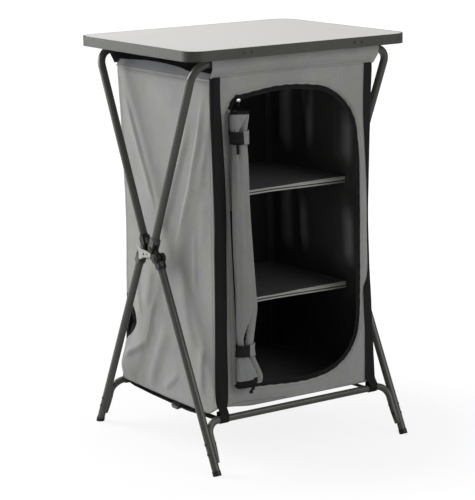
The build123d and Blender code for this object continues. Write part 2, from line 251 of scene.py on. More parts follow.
def oxford_cloth(dark, light):
    """Polyester Oxford, woven plain from 600 denier melange yarn.

    The eye sees a matt, faintly mottled grey, with slubs as short streaks both ways and soft small creases.
    The yarn is too fine to show, so the slubs are drawn 22 mm long and the creases 38 mm apart.
    """

    def build(tree):
        uv = add(tree, "UVMap", uv_map="cloth")
        weave = plain_weave(tree, uv)
        slubs = []
        for stretch in ((1 / yarn, 45, 1), (45, 1 / yarn, 1)):
            stretched = add(tree, "Mapping", {"Vector": uv, "Scale": stretch})
            slubs.append(add(tree, "TexNoise", {"Vector": stretched, "Scale": 1.0, "Detail": 1.0}))
        slub = add(tree, "Math", slubs, operation="ADD")
        slub = add(tree, "MapRange", (slub, 0.6, 1.4, 0.0, 0.6))
        cloud = add(tree, "TexNoise", {"Vector": uv, "Scale": 9.0, "Detail": 3.0})
        tone = add(tree, "Math", (slub, add(tree, "MapRange", (cloud, 0.3, 0.7, 0.0, 0.4))), operation="ADD")
        gaps = add(tree, "MapRange", (weave, 0.0, 1.0, 0.75, 1.0))
        shade = add(tree, "Math", (tone, gaps), operation="MULTIPLY")
        colour = add(tree, "Mix", {0: shade, 6: linear(dark), 7: linear(light)}, **colours)
        cool = add(tree, "TexNoise", {"Vector": uv, "Scale": 13.0})
        cool = add(tree, "MapRange", (cool, 0.38, 0.62))
        tint = add(tree, "Mix", {0: cool, 6: linear("#f9f9ff"), 7: linear("#fdfdf5")}, **colours)
        colour = add(tree, "Mix", {0: 1.0, 6: colour, 7: tint}, blend_type="MULTIPLY", **colours)
        creases = add(tree, "TexNoise", {"Vector": uv, "Scale": 26.0, "Detail": 3.0, "Roughness": 0.55})
        threads = add(tree, "Math", (weave, 0.10), operation="MULTIPLY")
        height = add(tree, "Math", (threads, creases), operation="ADD")
        return colour, height, 0.0012, add(tree, "MapRange", (cloud, 0.2, 0.8, 0.80, 0.92))

    return build


def coated_lining(dark, light, painted_shade_low="#171717", painted_fold_highlights=()):
    """Polyurethane, knife coated on the back of the cloth.

    The eye sees a low satin black in which the weave just shows. Below 0.30 m, in the lower compartment,
    it is painted darker, as painted shade, and by 0.42 m it has turned to its lit colour. Painted fold
    highlights lie over it; each has its middle, width, ends and share of white.
    """

    def build(tree):
        uv = add(tree, "UVMap", uv_map="cloth")
        cloud = add(tree, "TexNoise", {"Vector": uv, "Scale": 14.0, "Detail": 3.0})
        up = add(tree, "SeparateXYZ", [add(tree, "TexCoord", out="Object")], "Z")
        # Painted shade: below 0.30 m the lining takes its painted-shade colour, for the lower compartment's
        # shade
        rub_marks_and_painted_light = add(tree, "MapRange", (up, 0.30, 0.42))
        colour = add(tree, "Mix", {0: cloud, 6: linear(dark), 7: linear(light)}, **colours)
        colour = add(tree, "Mix", {0: rub_marks_and_painted_light, 6: linear(painted_shade_low), 7: colour}, **colours)
        across = add(tree, "SeparateXYZ", [uv], "X")
        for middle, width, low, high, share in painted_fold_highlights:
            off = add(tree, "Math", (across, middle), operation="SUBTRACT")
            off = add(tree, "Math", [off], operation="ABSOLUTE")
            white = add(tree, "MapRange", (off, 0.0, width, share, 0.0))
            for end, inside in ((low, low + 0.05), (high, high - 0.05)):
                faded = add(tree, "MapRange", (up, end, inside))
                white = add(tree, "Math", (white, faded), operation="MULTIPLY")
            # Painted highlight: the middle of each fold is mixed towards pale grey
            colour = add(tree, "Mix", {0: white, 6: colour, 7: linear("#8f918e")}, **colours)
        threads = add(tree, "Math", (plain_weave(tree, uv), 0.08), operation="MULTIPLY")
        height = add(tree, "Math", (threads, cloud), operation="ADD")
        return colour, height, 0.0012, add(tree, "MapRange", (cloud, 0.2, 0.8, 0.50, 0.66))

    return build


def webbing(dark, light):
    """Polypropylene webbing, woven narrow with ribs across its width.

    The eye sees dull ribs 1.6 mm apart with dark lines between them, broken by yarns 2.2 mm apart.
    """

    def build(tree):
        uv = add(tree, "UVMap", uv_map="cloth")
        rib = add(tree, "TexWave", {"Vector": uv, "Scale": ridges(0.0016)}, "Fac", bands_direction="Y")
        gaps = add(tree, "TexWave", {"Vector": uv, "Scale": ridges(0.0022)}, "Fac", bands_direction="X")
        gaps = add(tree, "MapRange", (gaps, 0.0, 1.0, 0.5, 1.0))
        thread = add(tree, "Math", (rib, gaps), operation="MULTIPLY")
        fuzz = add(tree, "TexNoise", {"Vector": uv, "Scale": 160.0})
        worn = add(tree, "MapRange", (fuzz, 0.3, 0.7, 0.6, 1.0))
        shade = add(tree, "Math", (thread, worn), operation="MULTIPLY")
        colour = add(tree, "Mix", {0: shade, 6: linear(dark), 7: linear(light)}, **colours)
        return colour, thread, 0.0003, add(tree, "MapRange", (fuzz, 0.0, 1.0, 0.55, 0.8))

    return build


def powder_coat(dark, light):
    """Polyester powder coat, sprayed on and baked.

    The eye sees a satin film whose orange peel, 2.4 mm apart, breaks up its highlights, and paler specks.
    The specks are 0.4 mm apart.
    """

    def build(tree):
        place = add(tree, "TexCoord", out="Object")
        peel = add(tree, "TexNoise", {"Vector": place, "Scale": 420.0})
        cloud = add(tree, "TexNoise", {"Vector": place, "Scale": 12.0})
        speck = add(tree, "TexNoise", {"Vector": place, "Scale": 2600.0, "Detail": 0.0})
        speck = add(tree, "MapRange", (speck, 0.62, 0.75, 0.0, 0.25))
        colour = add(tree, "Mix", {0: cloud, 6: linear(dark), 7: linear(light)}, **colours)
        colour = add(tree, "Mix", {0: speck, 6: colour, 7: linear("#8d8e86")}, **colours)
        return colour, peel, 0.00006, add(tree, "MapRange", (cloud, 0.2, 0.8, 0.34, 0.46))

    return build


def melamine_laminate(tree):
    """Melamine laminate, pressed against a brushed plate.

    The eye sees a pale satin sheet with a faint grain along it. The real grain is too fine to show, so it
    is drawn 2 mm wide.
    """
    place = add(tree, "TexCoord", out="Object")
    brushed = add(tree, "Mapping", {"Vector": place, "Scale": (7, 160, 7)})
    grain = add(tree, "TexNoise", {"Vector": brushed, "Scale": 3.0, "Detail": 4.0})
    cloud = add(tree, "TexNoise", {"Vector": place, "Scale": 4.0, "Detail": 3.0})
    tone = add(tree, "Mix", {0: 0.3, 2: grain, 3: cloud}, data_type="FLOAT")
    colour = add(tree, "Mix", {0: tone, 6: linear("#bcbbb8"), 7: linear("#cdccca")}, **colours)
    pores = add(tree, "TexNoise", {"Vector": place, "Scale": 900.0})
    return colour, pores, 0.00003, add(tree, "MapRange", (grain, 0.3, 0.7, 0.46, 0.56))


def moulded(dark, light, low, high):
    """Nylon or acetal, injection moulded in a spark eroded mould.

    The eye sees an even satin whose grain, 0.7 mm apart, softens its highlights.
    """

    def build(tree):
        place = add(tree, "TexCoord", out="Object")
        grain = add(tree, "TexNoise", {"Vector": place, "Scale": 1500.0})
        cloud = add(tree, "TexNoise", {"Vector": place, "Scale": 60.0})
        colour = add(tree, "Mix", {0: cloud, 6: linear(dark), 7: linear(light)}, **colours)
        return colour, grain, 0.00004, add(tree, "MapRange", (cloud, 0.0, 1.0, low, high))

    return build


def sleeved_knob(tree):
    """Nylon knob, injection moulded, on a sleeve that is powder coated like the tube.

    The eye sees a satin black knob, and below it the tube's olive grey going on.
    """
    place = add(tree, "TexCoord", out="Object")
    up = add(tree, "SeparateXYZ", [place], "Z")
    sleeve = add(tree, "MapRange", (up, 0.460, 0.463, 1.0, 0.0))
    colour = add(tree, "Mix", {0: sleeve, 6: linear("#101010"), 7: linear("#393a34")}, **colours)
    grain = add(tree, "TexNoise", {"Vector": place, "Scale": 900.0})
    return colour, grain, 0.00005, add(tree, "MapRange", (sleeve, 0.0, 1.0, 0.46, 0.40))


def plated(dark, light, low, high):
    """Plated metal, tumbled smooth before plating.

    The eye sees sharp reflections with fine rub marks, which lie 5 mm long and 0.7 mm apart.
    """

    def build(tree):
        place = add(tree, "TexCoord", out="Object")
        # Stretched coordinates for the rub marks
        rub_marks_and_painted_light = add(tree, "Mapping", {"Vector": place, "Scale": (200, 200, 1500)})
        rub = add(tree, "TexNoise", {"Vector": rub_marks_and_painted_light, "Scale": 1.0, "Detail": 3.0})
        colour = add(tree, "Mix", {0: rub, 6: linear(dark), 7: linear(light)}, **colours)
        return colour, rub, 0.00002, add(tree, "MapRange", (rub, 0.3, 0.7, low, high))

    return build


# Painted highlights along the folds down the right side cloth's lining
right_fold_highlights = [
    (0.132, 0.024, 0.660, 0.960, 0.75),
    (0.030, 0.014, 0.690, 0.870, 0.60),
    (0.132, 0.020, 0.400, 0.630, 0.50),
    (0.064, 0.018, 0.410, 0.570, 0.45),
    (-0.132, 0.020, 0.660, 0.810, 0.85),
    (-0.134, 0.020, 0.400, 0.570, 0.85),
]
right_lining = coated_lining("#2e2e2d", "#4b4b4a", painted_fold_highlights=right_fold_highlights)
nap = {"Sheen_Weight": 0.15, "Sheen_Roughness": 0.5}
cloth_grey = material("grey_oxford_cloth", oxford_cloth("#858584", "#a3a3a0"), **nap)
# A darker, bluer copy of the grey cloth: painted shade, for the hem under the tabletop and the zip tape
# beside the roll
painted_shade_grey = material("shaded_hem_cloth", oxford_cloth("#64666c", "#7f8187"), **nap)
# A darker copy of the grey cloth, used on the rolled door and the ties' grey bands
door_grey = material("door_oxford_cloth", oxford_cloth("#707270", "#8f908d"), **nap)
# The third colour of a coated lining is painted shade, used below 0.30 m
lining_black = material("black_coated_lining", coated_lining("#2e2e2d", "#4b4b4a"), Sheen_Weight=0.1)
lining_with_fold_highlights = material("lining_with_painted_fold_highlights", right_lining, Sheen_Weight=0.1)
# A darker copy of the lining for the back wall's inner face: painted shade
back_lining_painted_shade = material("black_back_lining", coated_lining("#1b1b1a", "#2b2b2a", "#111111"), Sheen_Weight=0.1)
sleeve_black = material("black_shelf_cloth", coated_lining("#1e1e1d", "#303030", "#1c1c1c"), Sheen_Weight=0.1)
floor_black = material("black_floor_cloth", coated_lining("#131313", "#1d1d1d", "#111111"), Sheen_Weight=0.1)
binding_grey = material("grey_binding_tape", webbing("#95958f", "#c4c4bf"), Sheen_Weight=0.1)
webbing_black = material("black_webbing", webbing("#060606", "#121212"), Specular_IOR_Level=0.25)
tape_black = material("black_zip_tape", webbing("#040404", "#0d0d0d"), Specular_IOR_Level=0.2)
coil_black = material("black_nylon_coil", moulded("#0c0c0c", "#161616", 0.25, 0.35))
thread_grey = material("grey_thread", webbing("#6f6f6c", "#959590"))
tube_paint = material("olive_grey_powder_coat", powder_coat("#32332d", "#3e3f38"), Coat_Weight=0.15)
band_paint = material("olive_grey_edge_profile", powder_coat("#30312a", "#3a3b32"), Coat_Weight=0.1)
top_laminate = material("pale_melamine_laminate", melamine_laminate)
glass_filled = moulded("#0b0b0b", "#151514", 0.40, 0.52)
nylon_black = material("black_glass_filled_nylon", glass_filled, Specular_IOR_Level=0.4)
knob_black = material("black_nylon_knob", sleeved_knob, Specular_IOR_Level=0.4)
plastic_pale = material("pale_grey_acetal", moulded("#969890", "#a9aba3", 0.35, 0.48))
plastic_grey = material("grey_acetal", moulded("#565753", "#676863", 0.40, 0.52))
plated_steel = material("blackened_steel", plated("#3a3b36", "#4d4e48", 0.32, 0.45), Metallic=1.0)
bright_nickel = material("bright_nickel", plated("#c6c5c1", "#dddcd8", 0.16, 0.24), Metallic=1.0)
black_nickel = material("black_nickel", plated("#2a2a29", "#3d3d3b", 0.14, 0.24), Metallic=1.0)


# Pieces
def add_piece(mesh, body, materials, replaces=()):
    """Puts a mesh in the scene on its body; a piece on the cabinet gets a mesh of its own."""
    piece = bpy.data.objects.new(mesh.name, mesh)
    bpy.context.scene.collection.objects.link(piece)
    for entry in materials:
        mesh.materials.append(entry)
    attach(piece, body)
    if replaces:
        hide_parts(*replaces)
    if body == "cabinet":
        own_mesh(piece)
    return piece


def grid_mesh(name, across, up, place, closed=False, flip=False, paint=None):
    """Mesh over rows and columns; place gives a point and its UV place in metres, paint a material."""
    mesh = bpy.data.meshes.new(name)
    placed = [place(a, b) for b in up for a in across]
    wide = len(across)
    faces = []
    for j in range(len(up) - 1):
        for i in range(wide if closed else wide - 1):
            k, n = j * wide + i, j * wide + (i + 1) % wide
            face = (k, n, n + wide, k + wide)
            faces.append(face[::-1] if flip else face)
    mesh.from_pydata([point for point, _ in placed], [], faces)
    layer = mesh.uv_layers.new(name="cloth")
    for loop in mesh.loops:
        layer.data[loop.index].uv = placed[loop.vertex_index][1]
    if paint:
        for polygon in mesh.polygons:
            row, column = divmod(min(polygon.vertices), wide)
            polygon.material_index = paint(across[column], up[row])
    mesh.shade_smooth()
    return mesh


def cloth(mesh, materials, replaces=(), thickness=cloth_thickness, offset=-1.0):
    """A sheet with its thickness on the cabinet; the later half of its materials is its inner face."""
    piece = add_piece(mesh, "cabinet", materials, replaces)
    solid = piece.modifiers.new("thickness", "SOLIDIFY")
    solid.thickness = thickness
    solid.offset = offset
    solid.material_offset = len(materials) // 2
    return piece


def band(mesh, materials, replaces=(), thickness=webbing_thickness):
    """Webbing, thickened evenly to both sides."""
    return cloth(mesh, materials, replaces, thickness, offset=0.0)


def joined_mesh(name, parts):
    """One mesh from pairs of points and faces."""
    points, faces = [], []
    for part_points, part_faces in parts:
        start = len(points)
        points += part_points
        faces += [[k + start for k in face] for face in part_faces]
    mesh = bpy.data.meshes.new(name)
    mesh.from_pydata(points, [], faces)
    layer = mesh.uv_layers.new(name="cloth")
    for loop in mesh.loops:
        x, y, z = points[loop.vertex_index]
        layer.data[loop.index].uv = (x + y, z)
    mesh.shade_smooth()
    return mesh


def tube(points, radius, sides=8, tilt=None):
    """Round cord along a line of points, closed at its ends."""
    ring_points, faces = [], []
    for i, point in enumerate(points):
        ahead = Vector(points[min(i + 1, len(points) - 1)]) - Vector(points[max(i - 1, 0)])
        side = ahead.cross(Vector(tilt or (0.1, 0.2, 1.0))).normalized()
        other = ahead.cross(side).normalized()
        for k in range(sides):
            turn = tau * k / sides
            ring_points.append(Vector(point) + side * radius * cos(turn) + other * radius * sin(turn))
    for i in range(len(points) - 1):
        for k in range(sides):
            a, b = i * sides + k, i * sides + (k + 1) % sides
            faces.append([a, b, b + sides, a + sides])
    faces.append(list(range(sides))[::-1])
    last = (len(points) - 1) * sides
    faces.append([last + k for k in range(sides)])
    return ring_points, faces


def resampled(points, pitch):
    """Points a pitch apart along a line."""
    kept, left = [], 0.0
    for a, b in zip(points, points[1:]):
        a, b = Vector(a), Vector(b)
        long = (b - a).length
        at = left
        while at < long:
            kept.append(a.lerp(b, at / long))
            at += pitch
        left = at - long
    return kept


def stitches(name, lines, thread=thread_grey):
    """Rows of short raised threads along lines that lie on a cloth's face."""
    parts = []
    for line in lines:
        spots = resampled(line, stitch_pitch)
        for here, there in zip(spots, spots[1:]):
            ahead = (there - here).normalized() * stitch_length / 2
            middle = (here + there) / 2
            run = [middle - ahead, middle - ahead * 0.8, middle + ahead * 0.8, middle + ahead]
            ring, faces = tube(run, stitch_radius, 6)
            for k, share in enumerate((0.4, 1.0, 1.0, 0.4)):
                round_spot = slice(6 * k, 6 * k + 6)
                ring[round_spot] = [run[k].lerp(point, share) for point in ring[round_spot]]
            parts.append((ring, faces))
    add_piece(joined_mesh(name, parts), "cabinet", [thread])


# The cabinet's walls
def corner_radius(z):
    """The cloth's upright corners are rounder at the waist."""
    return 0.006 + 0.006 * bump(z, 0.53, 0.16)


def wall(face, at, z, out=0.0):
    """Point on the cabinet's cloth: at is the distance from a face's middle, round the corners as well."""
    half_width, depth = along(walls, z)
    if face in ("left", "right"):
        half_width, depth = depth, half_width
    round_off = corner_radius(z)
    straight = half_width - round_off
    side = 1.0 if at > 0 else -1.0
    past = max(abs(at) - straight, 0.0)
    angle = min(past / round_off, pi / 2)
    beyond = max(past - round_off * pi / 2, 0.0)
    reach = round_off + out
    sideways = side * (min(abs(at), straight) + reach * sin(angle))
    forwards = depth - round_off + reach * cos(angle) - beyond
    if face in ("front", "left"):
        forwards = -forwards
    return Vector((forwards, sideways, z) if face in ("left", "right") else (sideways, forwards, z))


def smooth_loop(corners, count):
    """Evenly spaced points of a smooth closed line through corners."""
    rough = []
    for k in range(len(corners)):
        a, b, c, d = [Vector(corners[(k + step) % len(corners)]) for step in (-1, 0, 1, 2)]
        long = (c - b).length
        leave = (c - a) * long / (long + (b - a).length)
        arrive = (d - b) * long / (long + (d - c).length)
        rough += [hermite(t, b, c, leave, arrive) for t in spread(0, 0.95, 20)]
    rough.append(rough[0])
    whole = sum((b - a).length for a, b in zip(rough, rough[1:]))
    return resampled(rough, whole / count)[:count]


door_line = smooth_loop(door_corners, door_points)


def opening(inset):
    """Outline of the door opening, drawn in by an inset."""
    moved = []
    for k, point in enumerate(door_line):
        ahead = (door_line[(k + 1) % door_points] - door_line[k - 1]).normalized()
        moved.append((point.x - ahead.y * inset, point.y + ahead.x * inset))
    return moved


def front_half(z):
    """Half width of the front cloth, which ends inside the corner."""
    return along(walls, z)[0] - 0.004


def panel_edge(x, z):
    """Where the line from the opening's middle through a point meets the front cloth's outer edge."""
    middle = (wall_bottom + panel_top) / 2
    tall = (panel_top - wall_bottom) / 2
    wide = front_half(z)
    reach = max(abs(x) / wide, abs(z - middle) / tall)
    edge_z = middle + (z - middle) / reach
    return x / reach / wide * front_half(edge_z), edge_z


def tucked(x, z):
    """How far the front cloth's lower edge is drawn in below the roll."""
    return 0.012 * ease(0.172, 0.133, z) * bump(x, -0.120, 0.085)


# Folds of the front cloth: soft upright waves and drag lines from its corners
front_folds = [
    (0.006, 0.006, 0.0009, (-0.200, 0.900), (-0.198, 0.300)),
    (0.005, 0.005, -0.0010, (-0.190, 0.550), (-0.194, 0.160)),
    (0.005, 0.005, 0.0010, (0.197, 0.860), (0.199, 0.450)),
    (0.005, 0.005, -0.0008, (0.207, 0.800), (0.205, 0.350)),
    (0.010, 0.010, 0.0014, (0.200, 0.300), (0.140, 0.145)),
    (0.008, 0.008, -0.0010, (0.215, 0.250), (0.170, 0.150)),
    (0.007, 0.007, 0.0010, (0.120, 0.160), (-0.120, 0.150)),
    (0.006, 0.006, 0.0009, (-0.050, 0.915), (0.120, 0.905)),
]


def front_relief(x, z):
    """Height of the front cloth's face; below the roll it is drawn in."""
    return folded(x, z, front_folds) - tucked(x, z) + 0.0008 * wobble(x, z, 0.06, 1.3)


def front_panel():
    """Front cloth round the door opening, in rings from its edge to the cloth's outer edge."""
    inner = opening(0)
    outer = [panel_edge(x, z) for x, z in inner]
    for side in (-1, 1):
        for z in (wall_bottom, panel_top):
            corner = (side * front_half(z), z)
            away = [hypot(x - corner[0], z - corner[1]) for x, z in outer]
            outer[away.index(min(away))] = corner

    def place(index, ring):
        x0, z0 = inner[index]
        x1, z1 = outer[index]
        x = x0 + (x1 - x0) * ring
        z = z0 + (z1 - z0) * ring
        rise = 0.009 * ease(-0.120, -0.215, x) - 0.0035 * bump(x, -0.120, 0.085)
        z += rise * ease(0.17, 0.133, z)
        edge = ring * hypot(x1 - x0, z1 - z0)
        pucker = 0.0005 * sin(index * 1.9) * exp(-edge / 0.010)
        lip = 0.0012 * bump(edge, 0.0035, 0.0022)
        return wall("front", x, z, 0.0006 + front_relief(x, z) + pucker + lip), (x, z)

    mesh = grid_mesh("front_cloth", range(len(inner)), spread(0, 1, 13), place, closed=True, flip=True)
    piece = cloth(mesh, [cloth_grey, lining_black], ["front_panel"])
    for name, inset in (("front_stitches_inner", -0.003), ("front_stitches_outer", -0.0075)):
        line = [wall("front", x, z, 0.0014 + front_relief(x, z)) for x, z in opening(inset)]
        stitches(name, [line + line[:1]])


# Side and back cloths
left_folds = [
    (0.018, 0.0050, 0.0046, (0.192, 0.870), (0.131, 0.746), (0.088, 0.657), (0.053, 0.560)),
    (0.008, 0.0140, 0.0060, (-0.186, 0.905), (-0.148, 0.767), (-0.108, 0.662), (-0.036, 0.495)),
    (0.012, 0.0140, 0.0062, (-0.118, 0.845), (-0.060, 0.708), (0.007, 0.574), (0.038, 0.500)),
    (0.009, 0.0100, 0.0020, (-0.188, 0.775), (-0.150, 0.655)),
    (0.004, 0.0030, 0.0018, (-0.206, 0.661), (-0.152, 0.656), (-0.095, 0.657)),
    (0.018, 0.0200, 0.0026, (-0.170, 0.645), (-0.153, 0.520)),
    (0.026, 0.0160, 0.0052, (0.070, 0.440), (0.098, 0.325)),
    (0.010, 0.0075, 0.0062, (0.100, 0.241), (0.163, 0.210), (0.215, 0.184)),
    (0.009, 0.0120, 0.0048, (0.052, 0.370), (0.080, 0.287), (0.118, 0.215)),
    (0.020, 0.0200, 0.0078, (-0.015, 0.320), (0.045, 0.214), (0.098, 0.115)),
    (0.012, 0.0080, 0.0030, (0.150, 0.420), (0.130, 0.300)),
    (0.012, 0.0080, 0.0028, (0.020, 0.440), (-0.010, 0.330)),
    (0.010, 0.0080, 0.0028, (-0.120, 0.560), (-0.128, 0.400)),
    (0.012, 0.0085, 0.0044, (-0.052, 0.190), (0.022, 0.135)),
    (0.030, 0.0150, 0.0052, (-0.066, 0.490), (-0.085, 0.382), (-0.104, 0.311), (-0.136, 0.250)),
    (0.020, 0.0110, 0.0046, (-0.159, 0.290), (-0.151, 0.150)),
]
right_folds = [
    (0.008, 0.0210, -0.0130, (0.160, 0.930), (0.158, 0.790), (0.160, 0.655)),
    (0.008, 0.0210, -0.0130, (0.160, 0.615), (0.158, 0.500), (0.160, 0.390)),
    (0.010, 0.0130, -0.0090, (0.085, 0.890), (0.046, 0.790), (0.040, 0.655)),
    (0.010, 0.0130, -0.0090, (0.095, 0.615), (0.074, 0.530), (0.076, 0.390)),
    (0.030, 0.0200, -0.0140, (-0.112, 0.870), (-0.104, 0.750), (-0.106, 0.655)),
    (0.030, 0.0200, -0.0140, (-0.110, 0.600), (-0.104, 0.500), (-0.108, 0.395)),
    (0.008, 0.0080, 0.0038, (-0.190, 0.800), (-0.150, 0.600)),
    (0.010, 0.0120, 0.0058, (0.030, 0.330), (0.110, 0.180)),
    (0.009, 0.0120, -0.0054, (-0.010, 0.290), (0.060, 0.150)),
    (0.009, 0.0120, -0.0045, (-0.080, 0.260), (-0.140, 0.160)),
    (0.008, 0.0080, 0.0042, (0.120, 0.230), (0.200, 0.170)),
]
back_folds = [
    (0.016, 0.0060, 0.0040, (-0.160, 0.900), (-0.124, 0.770), (-0.088, 0.640), (-0.078, 0.520)),
    (0.012, 0.0140, 0.0042, (0.150, 0.905), (0.118, 0.742), (0.060, 0.600), (0.022, 0.430)),
    (0.012, 0.0100, 0.0022, (0.170, 0.740), (0.150, 0.610), (0.146, 0.470)),
    (0.022, 0.0140, 0.0028, (-0.020, 0.860), (-0.006, 0.700), (-0.028, 0.560)),
    (0.024, 0.0130, 0.0046, (0.088, 0.470), (0.106, 0.330), (0.160, 0.215)),
    (0.012, 0.0170, 0.0042, (-0.112, 0.430), (-0.134, 0.300), (-0.170, 0.190)),
    (0.024, 0.0240, 0.0044, (-0.040, 0.380), (-0.052, 0.260), (-0.020, 0.150)),
    (0.012, 0.0080, 0.0028, (0.010, 0.215), (0.085, 0.158)),
]

# Lower edge and hem seam of a side cloth, and its upper edge, at places from front to rear
side_edges = [
    (-0.230, 0.1535, 0.9235, 0.9420),
    (-0.212, 0.1420, 0.9232, 0.9400),
    (-0.195, 0.1315, 0.9230, 0.9395),
    (-0.178, 0.1225, 0.9229, 0.9395),
    (-0.160, 0.1205, 0.9228, 0.9398),
    (-0.110, 0.119, 0.9220, 0.9365),
    (-0.060, 0.119, 0.9215, 0.9420),
    (0.030, 0.118, 0.9213, 0.9455),
    (0.095, 0.1185, 0.9213, 0.9450),
    (0.152, 0.119, 0.9216, 0.9420),
    (0.195, 0.121, 0.9218, 0.9400),
    (0.217, 0.124, 0.9220, 0.9390),
    (0.232, 0.134, 0.9222, 0.9380),
]


def side_relief(folds, s, z):
    """Height of a side cloth's face: its folds, the seams near its corners and its soft swell."""
    half = along(walls, min(z, 0.952))[1]
    seam = half - 0.011
    height = folded(s, z, folds) * (1 - 0.9 * ease(half - 0.016, half + 0.004, abs(s)))
    height += 0.0006 * bump(abs(s), seam + 0.0035, 0.0022) - 0.0010 * bump(abs(s), seam, 0.0012)
    height += 0.007 * bump(z, 0.33, 0.17) * cos(min(abs(s) / 0.205, 1.0) * pi / 2)
    height += 0.0011 * wobble(s, z, 0.075, 2.2) + 0.0005 * wobble(s, z, 0.028, 5.5)
    return height


def side_panel(face, folds):
    """Side cloth between the upper rails, wrapped round the corners, with its hem along the top."""
    rows = spread(0, 0.955, 150) + spread(0.957, 0.99, 40) + spread(0.992, 1, 6)
    wrap = 0.012
    waist = along(walls, 0.5)[1] + wrap

    def place(a, b):
        bottom, seam, top = along(side_edges, a * waist)
        z = bottom + (top - bottom) * b
        half = along(walls, z)[1]
        at = a * (half + wrap)
        out = side_relief(folds, at, z)
        over = z - seam
        out += 0.0022 * bump(over, 0.0025, 0.0022) - 0.0030 * bump(over, -0.0022, 0.0020)
        out -= 0.012 * ease(0.0020, 0.026, over)
        out += 0.0005 * sin(at * 900) * bump(over, -0.006, 0.006)
        # Towards its rear edge the left cloth is drawn in above the lowest compartment's middle
        if face == "left":
            above = z - 0.275
            notch = 1 - abs(above) / (0.075 if above > 0 else 0.055)
            out -= 0.030 * max(notch, 0.0) * ease(0.145, 0.215, at)
            out += 0.011 * bump(z, 0.160, 0.040) * ease(0.150, 0.215, at)
        tuck = 0.0018 * ease(half - 0.002, half + 0.006, abs(at))
        return wall(face, at, z, out - tuck), (at, z)

    def paint(a, b):
        bottom, seam, top = along(side_edges, a * waist)
        # Painted shade: above the seam the hem takes the painted-shade grey, for the tabletop's shade
        return 1 if bottom + (top - bottom) * b > seam + 0.003 else 0

    mesh = grid_mesh(f"side_cloth_{face}", spread(-1, 1, 150), rows, place, flip=face == "left", paint=paint)
    lining = lining_with_fold_highlights if face == "right" else lining_black
    layers = [cloth_grey, painted_shade_grey, lining, lining_black]
    piece = cloth(mesh, layers, [f"side_panel_{face}"])
    lines = []
    for drop in (0.0045, 0.0085):
        lines.append([(s, along(side_edges, s)[1] - drop, 0.0007) for s in spread(-0.205, 0.205, 80)])
    for side in (-1, 1):
        lines.append([(side * (along(walls, z)[1] - 0.0145), z, 0.0004) for z in spread(0.150, 0.900, 150)])
    lines = [[wall(face, s, z, side_relief(folds, s, z) + lift) for s, z, lift in line] for line in lines]
    stitches(f"side_stitches_{face}", lines)


def back_panel():
    """Back cloth between the corner straps, smooth where they lie on it."""

    def relief(s, z):
        clear_of_straps = 1 - ease(0.172, 0.190, abs(s))
        return folded(s, z, back_folds) * clear_of_straps + 0.0010 * wobble(s, z, 0.08, 4.4)

    def place(a, b):
        z = wall_bottom + (panel_top - wall_bottom) * b
        at = a * (along(walls, z)[0] - 0.003)
        return wall("back", at, z, 0.0006 + relief(at, z)), (at, z)

    mesh = grid_mesh("back_cloth", spread(-1, 1, 120), spread(0, 1, 150), place, flip=True)
    piece = cloth(mesh, [cloth_grey, back_lining_painted_shade], ["back_panel"])
    lines = [[(x, z) for x in spread(-0.200, 0.200, 90)] for z in (0.141, 0.145)]
    lines += [[(x, z) for z in spread(0.150, 0.92, 150)] for x in (-0.198, 0.198)]
    lines = [[wall("back", x, z, 0.0010 + relief(x, z)) for x, z in line] for line in lines]
    stitches("back_stitches", lines)


# Cloth bands over the top rails: height of their seam, then height, distance from the middle, half width
skirt_seam = 0.9375
skirt_rows = [
    (0.9300, 0.2214, 0.2335),
    (0.9340, 0.2232, 0.2342),
    (0.9440, 0.2310, 0.2355),
    (0.9550, 0.2368, 0.2370),
    (0.9748, 0.2388, 0.2385),
]


def skirt(word, side):
    """Cloth band over a top rail, sewn near its lower edge."""
    bottom, top = skirt_rows[0][0], skirt_rows[-1][0]

    def place(a, b):
        z = bottom + (top - bottom) * b
        depth, half = along(skirt_rows, z)
        x = a * half
        out = 0.0006 * wobble(x, z, 0.05, 9.1 + side) + 0.0008 * bump(z, 0.9345, 0.0022)
        out += 0.0010 * bump(z - 0.004 * wobble(x, 0, 0.12, 2.0), 0.9520, 0.0050)
        out += 0.0004 * sin(x * 620 + 2 * sin(x * 40)) * bump(z, 0.9345, 0.008)
        return Vector((x, side * (depth + out), z)), (x, z)

    mesh = grid_mesh(f"{word}_skirt_cloth", spread(-1, 1, 160), spread(0, 1, 26), place, flip=side > 0)
    piece = cloth(mesh, [cloth_grey, lining_black], [f"{word}_skirt"])
    depth = along(skirt_rows, skirt_seam)[0] + 0.0008
    line = [Vector((x, side * depth, skirt_seam)) for x in spread(-0.226, 0.226, 90)]
    stitches(f"{word}_skirt_stitches", [line])


# Zip of the door opening
def door_zip():
    """Woven tape round the opening, with a coil of teeth along its inner edge."""
    insets = [-0.0010, 0.0015, 0.0045, 0.0075, 0.0095, 0.0100]
    lines = [opening(inset) for inset in insets]

    def place(index, row):
        x, z = lines[row][index]
        lift = 0.0002 - 0.0009 * row / 5 + 0.0004 * wobble(x, z, 0.03, 6.0)
        return wall("front", x, z, lift), (index * 0.012, insets[row])

    mesh = grid_mesh("door_tape", range(len(lines[0])), range(len(insets)), place, closed=True, flip=True)
    piece = cloth(mesh, [tape_black], ["door_zip_tape"], tape_thickness)

    line = [wall("front", x, z, 0.0001) for x, z in opening(0.0095)]
    line = resampled(line + line[:1], coil_pitch)
    parts = []
    for k, spot in enumerate(line[:-1]):
        ahead = (line[k + 1] - spot).normalized()
        inward = ahead.cross(Vector((0, 1, 0)))
        run = []
        for forwards, across, out in coil_bend:
            run.append(spot + ahead * forwards + inward * across - Vector((0, out, 0)))
        parts.append(tube(run, coil_radius, 5, tilt=(0, 1, 0)))
    add_piece(joined_mesh("door_coil", parts), "cabinet", [coil_black])


# Webbing
def strap_mesh(name, spots):
    """Flat webbing through rows of (middle, across direction, width)."""
    runs = run_lengths([middle for middle, _, _ in spots])

    def place(a, k):
        middle, across, width = spots[k]
        return middle + across * (a * width / 2), (a * width / 2, runs[k])

    return grid_mesh(name, spread(-1, 1, 9), range(len(spots)), place)


